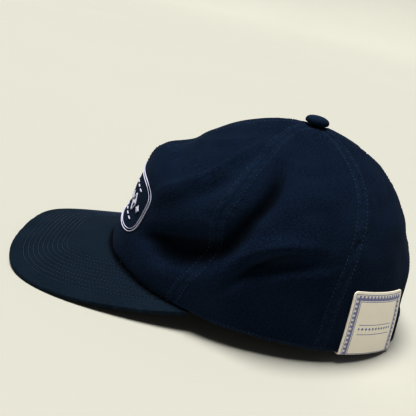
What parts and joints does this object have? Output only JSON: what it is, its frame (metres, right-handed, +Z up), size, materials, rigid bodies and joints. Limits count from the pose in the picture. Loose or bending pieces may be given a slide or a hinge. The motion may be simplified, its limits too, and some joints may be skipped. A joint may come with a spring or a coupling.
{
  "type": "six-panel cap",
  "caption": "Soft cloth cap with a flat stitched visor, covered top button, open back with a strap, and a woven label folded over its rim.",
  "frame": {"origin": "middle of the head opening, on the surface the cap rests on", "axes": "+Z up, the visor points to -Y, the rear opening faces +Y, and +X is the wearer's left"},
  "size_m": [0.1799, 0.2842, 0.1375],
  "materials": {
    "crown_twill": "dark navy cotton twill, matt",
    "visor_twill": "dark navy cotton twill over a flat board, matt",
    "band_twill": "navy cotton sweatband, matt",
    "thread": "pale embroidery thread",
    "label_weave": "cream woven label with blue figures",
    "clasp_metal": "dull brushed"
  },
  "bodies": {
    "root": {"front_panel_left": "crown_twill", "front_panel_right": "crown_twill", "side_panel_left": "crown_twill", "side_panel_right": "crown_twill", "back_panel_left": "crown_twill", "back_panel_right": "crown_twill", "visor": "visor_twill", "top_button": "crown_twill", "sweatband": "band_twill", "rear_strap": "crown_twill", "strap_clasp": "clasp_metal", "badge_frame": "thread", "woven_label": "label_weave"}
  },
  "joints": []
}
